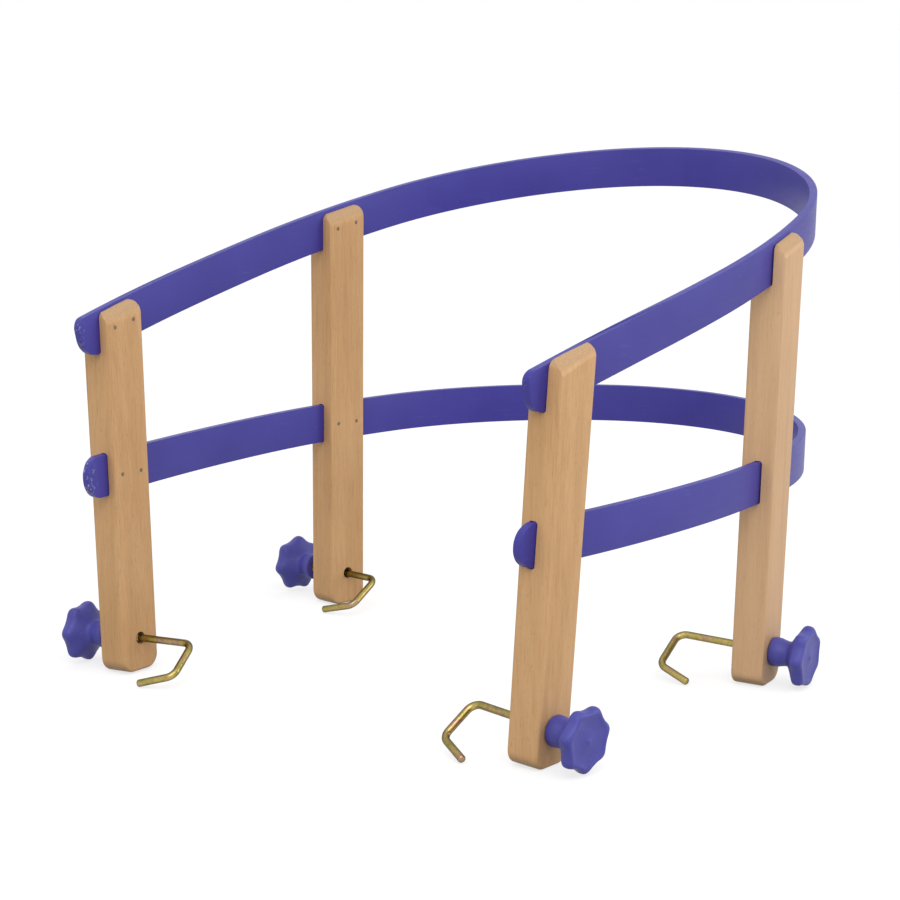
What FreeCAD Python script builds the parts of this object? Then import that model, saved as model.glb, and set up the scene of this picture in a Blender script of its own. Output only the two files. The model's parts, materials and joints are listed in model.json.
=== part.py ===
import FreeCAD, Part
import math, os

# Clamp-on backrest for a wooden sledge.
# Four beech posts stand outside the sledge's side rails.  Two flat plastic bands, each
# bent into a U, run through slots in the posts and are held by brads.  A hook bolt passes
# through the foot of every post and a star knob on its outer end draws it tight.
# Frame: +Z up, +Y to the closed end, +X to the right, origin on the floor at the middle
# of the four posts.  Millimetres.

V = FreeCAD.Vector

# ---- posts ----
post_t = 21.5             # thickness, across the wall
post_w = 31.5             # width, along the wall
front_h = 238.9           # height at the middle of the sloped top
rear_h = 285.5
row_pitch = 224.8         # front row to rear row
front_half = 163.6        # post centre to the middle plane, at the floor
rear_half = 175.2
front_lean = 3.3          # degrees outwards
rear_lean = 1.0
front_rake = 1.1          # degrees backwards
rear_rake = 1.2
front_turn = -1.0         # degrees turned inwards about the upright, seen from above
rear_turn = 9.0
rear_sway = 0.4           # degrees that both rear posts lean to the right
foot_r = 9.0              # rounding of the foot, seen from the side
shoulder_r = 4.0          # rounding of the top corners, seen from the side
edge_r = 2.0              # rounding of the long edges
roof_run = 6.2            # chamfer of each cheek: across
roof_drop = 7.4           # and down

# ---- bands ----
band_t = 5.0
band_w = 26.6
band_edge_r = 0.9
band_proud = 2.4          # upper band above the post's top
low_band_z = 131.5        # middle of the lower band at the front posts
low_rise_deg = 0.4        # the lower band's slope towards the back
upper_overhang = (13.0, 8.0)  # band past the front posts: left end, right end
lower_overhang = (18.0, 8.5)
upper_end_r = (7.0, 18.0)     # rounding of the upper band's ends: top corner, bottom corner
lower_end_r = (12.5, 12.5)
upper_reach = 304.1       # middle of the band at the closed end
lower_reach = 310.0
widest_y = 40.0           # where the walls stand furthest apart
bow_r = 500.0             # wall curve behind the widest point
bow_deg = 14.0            # where that curve ends
upper_flank_deg = (60.5, 55.5)   # where each flank ends and the crown begins: left, right
lower_flank_deg = (62.5, 53.5)

# ---- slots ----
slot_side_gap = 0.5
slot_end_gap = 1.6

# ---- brads ----
brad_r = 0.7
brad_head_r = 1.3
brad_head_t = 0.9
brad_len = 18.0
brad_half_pitch = 8.5
brad_sink = 0.15
brad_fit = 0.02

# ---- hook bolt ----
wire_r = 2.4
hole_fit = 1.6            # round the wire in its hole through the post
hole_z = 22.6             # hole centre above the floor
seat_gap = 0.4            # wire above the bottom of its hole
hook_len = 74.0           # middle of the leg to the end of the thread
leg_len = 28.3            # between the two bends' corners
tip_len = 24.4            # from the second corner
tip_deg = 23.0            # tip arm turned away from the shank
leg_deg = 4.8             # leg leaned inwards
bend_r = 7.0
thread_len = 31.0
thread_pitch = 0.8
thread_depth = 0.35
floor_gap = 0.3           # tip above the floor

# ---- star knob ----
knob_r = 20.0
knob_len = 26.0
lobes = 7
scallop_r = 8.0
scallop_depth = 2.6
lobe_edge_r = 1.8
hub_r = 9.4
neck_r = 8.0
hub_len = 12.0
head_back = 16.6          # where the head's rim begins
cone_r = 15.5
rim_r = 2.2
face_dish = 1.1
gate_r = 1.6
knob_bore_r = 2.9
bore_depth = 23.6
insert_r = 4.2
insert_len = 12.0
insert_fit = 0.05
insert_sink = 0.4         # insert below the hub's end
thread_fit = 0.05

# Each hook bolt lies loose in its hole: how far the leg stands inside the post's inner
# face, how far the hub stands off its outer face, how the knob is turned, how far the
# knob's weight makes the bolt sag across the post, how far it is lifted off the hole's
# bottom, and how far it is shifted backwards across the post, seen from above.
stations = {
    "front_left": {"side": -1, "row": "front", "reach": 42.0, "gap": 4.5, "turn": 8.0,
                   "sag": 0.94, "lift": 0.0, "shift": -1.69},
    "rear_left": {"side": -1, "row": "rear", "reach": 30.0, "gap": 13.6, "turn": 20.0,
                  "sag": 0.6, "lift": 0.0, "shift": 0.0},
    "front_right": {"side": 1, "row": "front", "reach": 40.0, "gap": 0.3, "turn": 0.0,
                    "sag": 1.24, "lift": 1.1, "shift": -1.69},
    "rear_right": {"side": 1, "row": "rear", "reach": 43.0, "gap": 0.3, "turn": 12.0,
                   "sag": 1.13, "lift": 0.1, "shift": 0.0},
}

far = 600.0               # longer than anything here, for cutting tools


def rows():
    """Post rows: place along Y, half spacing at the floor, lean, rake, turn, sway, height."""
    return {
        "front": {"y": -row_pitch / 2, "half": front_half, "lean": front_lean, "sway": 0.0,
                  "rake": front_rake, "turn": front_turn, "h": front_h},
        "rear": {"y": row_pitch / 2, "half": rear_half, "lean": rear_lean, "sway": rear_sway,
                 "rake": rear_rake, "turn": rear_turn, "h": rear_h},
    }


def outward(row, side):
    """Outward lean of one post, in degrees."""
    return rows()[row]["lean"] + side * rows()[row]["sway"]


def axis_x(row, side, z):
    """Post axis distance from the middle plane at height z."""
    return rows()[row]["half"] + z * math.tan(math.radians(outward(row, side)))


def axis_y(row, z):
    """Post axis place along Y at height z."""
    return rows()[row]["y"] + z * math.tan(math.radians(rows()[row]["rake"]))


def tilt():
    """Slope of the upper band and of the post tops, in radians."""
    return math.atan2(rear_h - front_h, axis_y("rear", rear_h) - axis_y("front", front_h))


# ------------------------------------------------------------------ band plan

def bow_start(z, side):
    """Widest place of one half at height z: distance from the middle plane."""
    back_off = axis_y("rear", z) - widest_y
    return axis_x("rear", side, z) + bow_r - math.sqrt(bow_r ** 2 - back_off ** 2)


def flank(z, band, side):
    """One flank at height z: its start, its two angles and how much of it a unit rise needs."""
    a1 = math.radians(bow_deg)
    a2 = math.radians(band["flank"][side > 0])
    x1 = bow_start(z, side) - bow_r * (1 - math.cos(a1))
    y1 = widest_y + bow_r * math.sin(a1)
    return x1, y1, a1, a2, (math.cos(a1) - math.cos(a2)) / (math.sin(a2) - math.sin(a1))


def crown_radius(z, band):
    """Radius of the closed end's middle line that touches both flanks and the reach."""
    width = share = 0.0
    for side in (-1, 1):
        x1, y1, _, a2, ratio = flank(z, band, side)
        width += x1 - ratio * (band["reach"] - y1)
        share += math.cos(a2) - ratio * (1 - math.sin(a2))
    return width / share


def plan(z, band, side):
    """The band's middle line at height z, one half, as arcs (centre, radius, from, to).

    Angles turn from 0 at the widest point to 90 at the closed end.  The walls pass
    through the axes of the posts, and the closed end is one arc between both flanks."""
    widest = bow_start(z, side)
    d = widest - axis_x("front", side, z)
    h = widest_y - axis_y("front", z)
    wall_r = (d * d + h * h) / (2 * d)
    a0 = -math.asin((h + 2 * post_w) / wall_r)
    x1, y1, a1, a2, _ = flank(z, band, side)
    crown_r = crown_radius(z, band)
    rise = band["reach"] - y1 - crown_r * (1 - math.sin(a2))
    flank_r = rise / (math.sin(a2) - math.sin(a1))
    flank_c = V(x1 - flank_r * math.cos(a1), y1 - flank_r * math.sin(a1), 0)
    crown_c = flank_c + V(math.cos(a2), math.sin(a2), 0) * (flank_r - crown_r)
    return [
        (V(widest - wall_r, widest_y, 0), wall_r, a0, 0.0),
        (V(widest - bow_r, widest_y, 0), bow_r, 0.0, a1),
        (flank_c, flank_r, a1, a2),
        (crown_c, crown_r, a2, math.pi / 2),
    ]


def arc_edge(c, r, a, b, z, mirrored=False):
    """Arc about c from angle a to b at height z, or its mirror image, run backwards."""
    pts = [V(c.x + r * math.cos(t), c.y + r * math.sin(t), z) for t in (a, (a + b) / 2, b)]
    if mirrored:
        pts = [V(-p.x, p.y, p.z) for p in reversed(pts)]
    return Part.Arc(*pts).toShape(), pts[0], pts[2]


def side_run(z, band, off):
    """The whole U at a distance off from the middle line, right front end to left."""
    right, left = plan(z, band, 1), plan(z, band, -1)
    crown_c, crown_r, crown_start, _ = right[-1]
    crown_end = math.pi - left[-1][2]
    run = [arc_edge(c, r + off, a, b, z) for c, r, a, b in right[:-1]]
    run.append(arc_edge(crown_c, crown_r + off, crown_start, crown_end, z))
    run += [arc_edge(c, r + off, a, b, z, True) for c, r, a, b in reversed(left[:-1])]
    return run


def band_outline(z, band):
    outer = side_run(z, band, band_t / 2)
    inner = side_run(z, band, -band_t / 2)
    edges = [e[0] for e in outer]
    edges.append(Part.LineSegment(outer[-1][2], inner[-1][2]).toShape())
    edges += [e[0] for e in reversed(inner)]
    edges.append(Part.LineSegment(inner[0][1], outer[0][1]).toShape())
    return Part.Wire(Part.__sortEdges__(edges))


def slab(y0, z_mid, slope, ends, side):
    """Side view of half a band: a strip from y0 backwards with two rounded front corners."""
    top_r, low_r = ends
    half = band_w / 2
    k = math.sin(math.pi / 4)
    pts = [V(0, low_r, -half), V(0, low_r * (1 - k), -half + low_r * (1 - k)),
           V(0, 0, -half + low_r)]
    low = Part.Arc(*pts).toShape()
    top_pts = [V(0, 0, half - top_r), V(0, top_r * (1 - k), half - top_r * (1 - k)),
               V(0, top_r, half)]
    top = Part.Arc(*top_pts).toShape()
    edges = [low]
    if top_pts[0].distanceToPoint(pts[2]) > 1e-6:
        edges.append(Part.LineSegment(pts[2], top_pts[0]).toShape())
    edges += [top, Part.LineSegment(top_pts[2], V(0, far, half)).toShape(),
              Part.LineSegment(V(0, far, half), V(0, far, -half)).toShape(),
              Part.LineSegment(V(0, far, -half), pts[0]).toShape()]
    strip = Part.Face(Part.Wire(edges)).extrude(V(side * far, 0, 0))
    strip.rotate(V(0, 0, 0), V(1, 0, 0), math.degrees(slope))
    strip.translate(V(0, y0, z_mid))
    return strip


def bands():
    """Both bands: slope, height of the middle at the front posts, plan and end rounding."""
    top_z = front_h - (axis_y("front", front_h) + row_pitch / 2) * math.tan(tilt())
    upper_z = top_z + band_proud - band_w / 2 / math.cos(tilt())
    return {
        "upper_band": {"slope": tilt(), "z": upper_z, "reach": upper_reach,
                       "flank": upper_flank_deg, "ends": upper_end_r,
                       "over": upper_overhang, "open_slot": True},
        "lower_band": {"slope": math.radians(low_rise_deg), "z": low_band_z,
                       "reach": lower_reach, "flank": lower_flank_deg, "ends": lower_end_r,
                       "over": lower_overhang, "open_slot": False},
    }


def mid_z(band, y):
    """Height of a band's middle line at a place along Y."""
    return band["z"] + (y + row_pitch / 2) * math.tan(band["slope"])


def band_start_y(overhang):
    return -row_pitch / 2 - post_w / 2 - overhang


def make_band(band):
    """A ruled U between two level outlines, trimmed to its sloping edges and rounded."""
    starts = [band_start_y(overhang) for overhang in band["over"]]
    low, high = mid_z(band, min(starts)) - band_w, mid_z(band, band["reach"]) + band_w
    ruled = Part.makeLoft([band_outline(low, band), band_outline(high, band)], True, True)
    left, right = [slab(y0, mid_z(band, y0), band["slope"], band["ends"], side)
                   for y0, side in zip(starts, (-1, 1))]
    solid = ruled.common(left.fuse(right).removeSplitter()).removeSplitter().Solids[0]
    return solid.makeFillet(band_edge_r, [e for e in solid.Edges if not spans_thickness(e)])


def spans_thickness(edge):
    """True for the short seams that run straight across the band or down its face."""
    a, b = edge.Vertexes[0].Point, edge.Vertexes[-1].Point
    across = edge.Length < band_t * 1.05
    down = abs(a.z - b.z) > 0.9 * edge.Length and edge.Length > band_w / 3
    return across or down


# ------------------------------------------------------------------ posts

def cross_z(row, band):
    """Height at which a post's axis meets the middle of a band."""
    slope = math.tan(band["slope"])
    at_foot = mid_z(band, rows()[row]["y"])
    return at_foot / (1 - slope * math.tan(math.radians(rows()[row]["rake"])))


def band_heading(row, side, band):
    """Direction of a band's middle line where it passes a post: degrees, inwards positive."""
    z = cross_z(row, band)
    wall, bow = plan(z, band, side)[:2]
    radius = bow[1] if row == "rear" else wall[1]
    return math.degrees(math.asin((axis_y(row, z) - widest_y) / radius))


def lean_vec(row, side, z):
    """From a post's foot up its axis to height z, in the post's own frame."""
    turn = math.radians(rows()[row]["turn"])
    x = axis_x(row, side, z) - axis_x(row, side, 0)
    y = axis_y(row, z) - axis_y(row, 0)
    return V(x * math.cos(turn) + y * math.sin(turn), y * math.cos(turn) - x * math.sin(turn), z)


def post_outline(row, side):
    """Wide face of a post as a wire in the leaning plane, local X outwards, Y back."""
    h, half, slope = rows()[row]["h"], post_w / 2, math.tan(tilt())

    def at(y, z):
        return V(0, y, 0) + lean_vec(row, side, z)

    def corner(p, a, b, r):
        """Arc of radius r at corner p between the directions a and b."""
        turn = a.getAngle(b)
        cut = r / math.tan(turn / 2)
        mid_dir = (a + b).normalize()
        mid = p + mid_dir * (r / math.sin(turn / 2) - r)
        return p + a * cut, mid, p + b * cut

    pts = [at(-half, 0), at(half, 0), at(half, h + half * slope), at(-half, h - half * slope)]
    radii = [foot_r, foot_r, shoulder_r, shoulder_r]
    arcs = []
    for i, (p, r) in enumerate(zip(pts, radii)):
        a = (pts[i - 1] - p).normalize()
        b = (pts[(i + 1) % 4] - p).normalize()
        arcs.append(corner(p, a, b, r))
    edges = []
    for i, (p, m, q) in enumerate(arcs):
        edges.append(Part.Arc(p, m, q).toShape())
        edges.append(Part.LineSegment(q, arcs[(i + 1) % 4][0]).toShape())
    return Part.Wire(edges)


def roof_cut(row, side, outer):
    """Wedge that chamfers one cheek, running along the sloped top."""
    h = rows()[row]["h"]
    x0 = post_t / 2
    c = math.cos(tilt())
    tri = [V(x0 - roof_run, 0, 0), V(x0 + roof_run, 0, -2 * roof_drop * c),
           V(x0 + roof_run, 0, post_w), V(x0 - roof_run, 0, post_w)]
    wire = Part.makePolygon(tri + [tri[0]])
    wedge = Part.Face(wire).extrude(V(0, far, 0))
    wedge.translate(V(0, -far / 2, 0))
    wedge.rotate(V(0, 0, 0), V(1, 0, 0), math.degrees(tilt()))
    if not outer:
        wedge = wedge.mirror(V(0, 0, 0), V(1, 0, 0))
    wedge.translate(lean_vec(row, side, h))
    return wedge


def slot_tool(row, side, band):
    """Milled slot for a band, in the post's own frame: round ends, along the band's heading."""
    slope, z = band["slope"], cross_z(row, band)
    w = band_t / 2 + slot_side_gap
    half = band_w / 2 / math.cos(slope) + slot_end_gap
    up = far / 4 if band["open_slot"] else half
    c0, c1 = -half + w, up - w
    shape = [Part.Arc(V(-w, 0, c0), V(0, 0, c0 - w), V(w, 0, c0)).toShape(),
             Part.LineSegment(V(w, 0, c0), V(w, 0, c1)).toShape(),
             Part.Arc(V(w, 0, c1), V(0, 0, c1 + w), V(-w, 0, c1)).toShape(),
             Part.LineSegment(V(-w, 0, c1), V(-w, 0, c0)).toShape()]
    run = V(0, 4 * post_w, 4 * post_w * math.tan(slope))
    tool = Part.Face(Part.Wire(shape)).extrude(run)
    tool.translate(run * -0.5)
    tool.rotate(V(0, 0, 0), V(0, 1, 0), outward(row, side))
    tool.rotate(V(0, 0, 0), V(0, 0, 1), band_heading(row, side, band) - rows()[row]["turn"])
    tool.translate(lean_vec(row, side, z))
    return tool


def bore_tool(place, radius, start=-far / 4, length=far / 2):
    """Level cylinder outwards through a place on a post's middle plane, from start."""
    p = place + V(start, 0, 0)
    return Part.makeCylinder(radius, length, p, V(1, 0, 0))


def brad_places(row, side):
    """Where the brads go in, in the post's own frame, on its middle plane."""
    places = []
    for band in bands().values():
        z = cross_z(row, band)
        for y in (-brad_half_pitch, brad_half_pitch):
            rise = y * math.tan(band["slope"])
            places.append(lean_vec(row, side, z + rise) + V(0, y, 0))
    return places


def brad(place, fit=0.0):
    """A brad driven outwards from the inner face, or the hole that it fills."""
    start = -post_t / 2 + brad_sink
    shank = bore_tool(place, brad_r + fit, start, brad_len + fit)
    reach_out = 1.0 if fit else 0.0
    head = bore_tool(place, brad_head_r + fit, start - reach_out, brad_head_t + reach_out + fit)
    return shank.fuse(head).removeSplitter()


def post(row, side):
    """A post in its own frame: local X outwards, Y back, on the floor."""
    body = Part.Face(post_outline(row, side)).extrude(V(post_t, 0, 0))
    body.translate(V(-post_t / 2, 0, 0))
    rim = []
    for e in body.Edges:
        a, b = e.Vertexes[0].Point, e.Vertexes[-1].Point
        crosswise = abs(a.x - b.x) > post_t / 2 and abs(a.z - b.z) < 1e-6
        if not crosswise and not is_top_edge(row, a, b):
            rim.append(e)
    body = body.makeFillet(edge_r, rim)
    for outer in (True, False):
        body = body.cut(roof_cut(row, side, outer))
    for band in bands().values():
        body = body.cut(slot_tool(row, side, band))
    body = body.cut(bore_tool(lean_vec(row, side, hole_z), wire_r + hole_fit))
    for place in brad_places(row, side):
        body = body.cut(brad(place, brad_fit))
    return body.removeSplitter()


def is_top_edge(row, a, b):
    """True for the edges of the sloped top and its two rounded corners."""
    line = rows()[row]["h"] - post_w / 2 * math.tan(tilt()) - shoulder_r * 1.3
    return min(a.z, b.z) > line


def to_world(shape, side, row):
    """From a post's own frame to the backrest's."""
    r = rows()[row]
    shape = shape.copy()
    shape.rotate(V(0, 0, 0), V(0, 0, 1), r["turn"])
    shape.translate(V(r["half"], r["y"], 0))
    if side < 0:
        shape = shape.mirror(V(0, 0, 0), V(1, 0, 0))
    return shape


# ------------------------------------------------------------------ hook bolt and knob

def tip_drop():
    """How far the tip's end hangs below the shank when the hook points straight down."""
    return leg_len * math.cos(math.radians(leg_deg)) + tip_len * math.sin(math.radians(tip_deg))


def tip_inset():
    """How far the tip's end lies outside the leg's top corner, along the shank."""
    return tip_len * math.cos(math.radians(tip_deg)) - leg_len * math.sin(math.radians(leg_deg))


def rest_swing(station):
    """Swing from straight down at which the tip lies on the floor, in degrees."""
    dip = bolt_angle(station, "sag")
    rise = (post_t + station["reach"] - tip_inset()) * math.sin(dip)
    drop = mouth_z(station) + rise - wire_r - floor_gap
    return math.degrees(math.acos(drop / (tip_drop() * math.cos(dip))))


def bolt_angle(station, kind):
    """How far the bolt leans in its hole, in radians, downwards (sag) or backwards (shift)."""
    return math.atan(station[kind] / post_t)


def mouth_z(station):
    """Height of the bolt's axis at the outer mouth of its hole."""
    return hole_z - (hole_fit - seat_gap) + station["lift"]


def on_bolt(shape, station):
    """Lay a piece made along the X axis on the bolt's axis, in the post's own frame."""
    mouth = V(post_t / 2, 0, 0)
    shape.rotate(mouth, V(0, 1, 0), math.degrees(bolt_angle(station, "sag")))
    shape.rotate(mouth, V(0, 0, 1), math.degrees(bolt_angle(station, "shift")))
    foot = lean_vec(station["row"], station["side"], mouth_z(station))
    shape.translate(foot + V(0, station["shift"] / 2, 0))
    return shape


def hook_bolt(station):
    """Hook bolt in the post's own frame, swung forwards so that its tip lies on the floor."""
    x_leg = -post_t / 2 - station["reach"]
    a, t = math.radians(leg_deg), math.radians(tip_deg)
    c1 = V(x_leg, 0, 0)
    c2 = c1 + V(-math.sin(a), 0, -math.cos(a)) * leg_len
    end = c2 + V(math.cos(t), 0, -math.sin(t)) * tip_len
    x_end = x_leg + hook_len
    x_thread = x_end - thread_len
    path = rounded_path([V(x_thread, 0, 0), c1, c2, end], bend_r)
    ring = Part.Wire(Part.makeCircle(wire_r, V(x_thread, 0, 0), V(-1, 0, 0)))
    rod = path.makePipeShell([ring], True, False)
    tip = Part.makeSphere(wire_r, end).common(
        Part.makeCylinder(wire_r, wire_r * 0.45, end, V(math.cos(t), 0, -math.sin(t))))
    bolt = rod.fuse(tip).fuse(threaded_end(x_thread)).removeSplitter()
    bolt.rotate(V(0, 0, 0), V(1, 0, 0), -rest_swing(station))
    return on_bolt(bolt, station)


def rounded_path(points, radius):
    """A wire of straight runs joined by tangent arcs."""
    edges, start = [], points[0]
    for before, p, after in zip(points, points[1:], points[2:]):
        a, b = (before - p).normalize(), (after - p).normalize()
        turn = a.getAngle(b)
        cut = radius / math.tan(turn / 2)
        mid = p + (a + b).normalize() * (radius / math.sin(turn / 2) - radius)
        edges.append(Part.LineSegment(start, p + a * cut).toShape())
        edges.append(Part.Arc(p + a * cut, mid, p + b * cut).toShape())
        start = p + b * cut
    edges.append(Part.LineSegment(start, points[-1]).toShape())
    return Part.Wire(edges)


def threaded_end(x0):
    """Threaded stretch of the bolt: one ridge per pitch, and a chamfered end."""
    root = wire_r - thread_depth
    outline = [V(x0, 0, 0), V(x0, 0, wire_r)]
    turns = int(thread_len / thread_pitch) - 1
    for i in range(turns):
        x = x0 + i * thread_pitch
        outline += [V(x + 0.5 * thread_pitch, 0, root), V(x + thread_pitch, 0, wire_r)]
    x_end = x0 + thread_len
    outline += [V(x_end - 2 * thread_depth, 0, wire_r), V(x_end, 0, wire_r - 2 * thread_depth),
                V(x_end, 0, 0), V(x0, 0, 0)]
    return Part.Face(Part.makePolygon(outline)).revolve(V(0, 0, 0), V(1, 0, 0), 360)


def star(length):
    """Lobed prism along +X with softened lobe edges."""
    body = Part.makeCylinder(knob_r, length, V(0, 0, 0), V(1, 0, 0))
    dist = knob_r + scallop_r - scallop_depth
    for i in range(lobes):
        a = 2 * math.pi * i / lobes
        centre = V(-1, dist * math.sin(a), dist * math.cos(a))
        body = body.cut(Part.makeCylinder(scallop_r, length + 2, centre, V(1, 0, 0)))
    ridges = [e for e in body.Edges if abs(e.Vertexes[0].Point.x - e.Vertexes[-1].Point.x) > length / 2]
    return body.makeFillet(lobe_edge_r, ridges)


def knob_profile():
    """Half section of the knob about its axis: hub, neck, cone, rim and dished face."""
    k = rim_r * (1 - math.sin(math.pi / 4))
    edges = []
    run = [V(0, 0, 0), V(0, 0, hub_r - 0.8), V(0.8, 0, hub_r), V(hub_len * 0.35, 0, hub_r)]
    for a, b in zip(run, run[1:]):
        edges.append(Part.LineSegment(a, b).toShape())
    neck = V(hub_len, 0, neck_r)
    edges.append(Part.Arc(run[-1], V(hub_len * 0.68, 0, neck_r + 0.45), neck).toShape())
    back = V(head_back, 0, cone_r)
    edges.append(Part.Arc(neck, V((hub_len + head_back) / 2 + 0.5, 0, (neck_r + cone_r) / 2 - 1),
                          back).toShape())
    rim0, rim1 = V(head_back + 2.4, 0, knob_r + 0.01), V(knob_len - rim_r, 0, knob_r + 0.01)
    edges.append(Part.LineSegment(back, rim0).toShape())
    edges.append(Part.LineSegment(rim0, rim1).toShape())
    lip = V(knob_len, 0, knob_r - rim_r)
    edges.append(Part.Arc(rim1, V(knob_len - k, 0, knob_r - k), lip).toShape())
    inner = V(knob_len - 0.2, 0, knob_r - rim_r - 2.6)
    edges.append(Part.LineSegment(lip, inner).toShape())
    centre = V(knob_len - face_dish * 0.4, 0, 0)
    dish = V(knob_len - face_dish, 0, (knob_r - rim_r - 2.6) * 0.62)
    edges.append(Part.Arc(inner, dish, centre).toShape())
    edges.append(Part.LineSegment(centre, run[0]).toShape())
    return Part.Face(Part.Wire(edges))


def knob_body():
    """Knob along +X with its hub's end at the origin, bored for the insert and the bolt."""
    turned = knob_profile().revolve(V(0, 0, 0), V(1, 0, 0), 360)
    body = turned.common(star(knob_len + 1))
    seat = insert_len + insert_sink + insert_fit
    body = body.cut(Part.makeCylinder(insert_r + insert_fit, seat, V(0, 0, 0), V(1, 0, 0)))
    body = body.cut(Part.makeCylinder(knob_bore_r, bore_depth, V(0, 0, 0), V(1, 0, 0)))
    gate = Part.makeSphere(gate_r, V(knob_len - face_dish * 0.4 - gate_r * 0.75, 0, 0))
    return body.fuse(gate).removeSplitter()


def insert_body():
    """Round threaded insert, open at both ends."""
    sleeve = Part.makeCylinder(insert_r, insert_len, V(insert_sink, 0, 0), V(1, 0, 0))
    bore = Part.makeCylinder(wire_r + thread_fit, insert_len + 2, V(insert_sink - 1, 0, 0), V(1, 0, 0))
    return sleeve.cut(bore)


def hub_x(station):
    """Where the hub's end lies: a gap outside the leaning face, clear of it all round."""
    lean = math.atan(lean_vec(station["row"], station["side"], 1).x)
    askew = math.hypot(lean - bolt_angle(station, "sag"), bolt_angle(station, "shift"))
    return post_t / 2 + hub_r * math.tan(askew) + station["gap"]


def on_axis(shape, station, turn=0.0):
    """Put a turned piece on the bolt's axis, its hub end a gap outside the post."""
    shape = shape.copy()
    shape.rotate(V(0, 0, 0), V(1, 0, 0), turn)
    shape.translate(V(hub_x(station), 0, 0))
    return on_bolt(shape, station)


# ------------------------------------------------------------------ assembly

def drill_for_brads(band):
    """Take the brads' holes out of a band at all four posts."""
    for s in stations.values():
        for place in brad_places(s["row"], s["side"]):
            tool = to_world(brad(place, brad_fit), s["side"], s["row"])
            if tool.BoundBox.intersect(band.BoundBox):
                band = band.cut(tool)
    return band


def build():
    nodes = {name: drill_for_brads(make_band(band)) for name, band in bands().items()}
    star_knob, insert = knob_body(), insert_body()
    for name, s in stations.items():
        side, row = s["side"], s["row"]
        brads = Part.makeCompound([brad(place) for place in brad_places(row, side)])
        pieces = {
            "post": post(row, side),
            "brads": brads,
            "hook_bolt": hook_bolt(s),
            "insert": on_axis(insert, s),
            "knob": on_axis(star_knob, s, s["turn"]),
        }
        for kind, shape in pieces.items():
            nodes[name + "_" + kind] = to_world(shape, side, row)
    return nodes


os.makedirs("parts", exist_ok=True)
for node, shape in build().items():
    shape.exportStep("parts/" + node + ".step")
    box = shape.BoundBox
    print(node, "solids", len(shape.Solids), "valid", shape.isValid(),
          "volume", round(shape.Volume, 1),
          [round(v, 1) for v in (box.XMin, box.XMax, box.YMin, box.YMax, box.ZMin, box.ZMax)])
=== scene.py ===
import json
from math import asin, atan, atan2, cos, degrees, pi, radians, sin, sqrt, tan

import bmesh
import bpy
from mathutils import Matrix, Vector


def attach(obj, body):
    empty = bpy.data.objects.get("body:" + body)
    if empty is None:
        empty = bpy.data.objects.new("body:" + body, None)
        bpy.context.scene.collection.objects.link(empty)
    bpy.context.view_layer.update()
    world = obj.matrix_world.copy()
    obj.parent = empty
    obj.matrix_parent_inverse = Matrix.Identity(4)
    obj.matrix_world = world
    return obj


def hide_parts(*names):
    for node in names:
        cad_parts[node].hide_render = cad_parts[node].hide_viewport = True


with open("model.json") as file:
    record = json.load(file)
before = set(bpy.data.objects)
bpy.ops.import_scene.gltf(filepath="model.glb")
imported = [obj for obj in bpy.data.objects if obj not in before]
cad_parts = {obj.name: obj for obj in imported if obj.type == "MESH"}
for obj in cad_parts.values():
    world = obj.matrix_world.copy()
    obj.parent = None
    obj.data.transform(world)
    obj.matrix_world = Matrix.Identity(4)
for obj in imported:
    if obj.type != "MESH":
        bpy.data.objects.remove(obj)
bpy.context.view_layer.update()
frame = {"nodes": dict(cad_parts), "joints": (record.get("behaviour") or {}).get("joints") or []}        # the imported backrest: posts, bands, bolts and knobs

scene = bpy.context.scene

# ---------------------------------------------------------------- beech posts
# Four planed sticks of steamed beech, two short ones in front and two long ones behind.
# Each is rounded over on its long edges and foot, cut on a slope at the top with a chamfer
# on both cheeks, slotted for the bands, drilled for its bolt and dented for its brads.
stations = {"front_left": ("front", -1), "rear_left": ("rear", -1),
            "front_right": ("front", 1), "rear_right": ("rear", 1)}
post_t, post_w = 0.0215, 0.0315
half_pitch = 0.1124
foot_r, shoulder_r, edge_r = 0.009, 0.004, 0.002
hole_r, hole_z = 0.004, 0.0226
brad_spread, dent_r = 0.0085, 0.00134
rows = {
    "front": {"y": -half_pitch, "half": 0.1636, "lean": radians(3.3), "sway": 0.0,
              "rake": radians(1.1), "turn": radians(-1.0), "h": 0.2389},
    "rear": {"y": half_pitch, "half": 0.1752, "lean": radians(1.0), "sway": radians(0.4),
             "rake": radians(1.2), "turn": radians(9.0), "h": 0.2855},
}


def axis_x(row, side, z):
    return rows[row]["half"] + z * tan(rows[row]["lean"] + side * rows[row]["sway"])


def axis_y(row, z):
    return rows[row]["y"] + z * tan(rows[row]["rake"])


top_slope = ((rows["rear"]["h"] - rows["front"]["h"])
             / (axis_y("rear", rows["rear"]["h"]) - axis_y("front", rows["front"]["h"])))

# the bands' middle lines decide where and how the slots run
band_t, band_w, band_proud, slot_gap = 0.005, 0.0266, 0.0024, 0.0005
widest_y, bow_r, bow_angle = 0.040, 0.500, radians(14)
upper_z = (rows["front"]["h"] - (axis_y("front", rows["front"]["h"]) + half_pitch) * top_slope
           + band_proud - band_w / 2 / cos(atan(top_slope)))
bands = {
    "upper_band": {"slope": top_slope, "z": upper_z, "reach": 0.3041, "over": (0.013, 0.008),
                   "flank": (radians(60.5), radians(55.5)),
                   "ends": {-1: (0.007, 0.014), 1: (0.006, 0.012)}},
    "lower_band": {"slope": tan(radians(0.4)), "z": 0.1315, "reach": 0.310,
                   "over": (0.018, 0.0085), "flank": (radians(62.5), radians(53.5)),
                   "ends": {-1: (0.0125, 0.0125), 1: (0.0125, 0.0125)}},
}


# the upper band's free ends sag a little in front of the rear posts
sag_from, sag_to = -0.035, -0.136
sag = {-1: 0.0015, 1: 0.0047}


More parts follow.
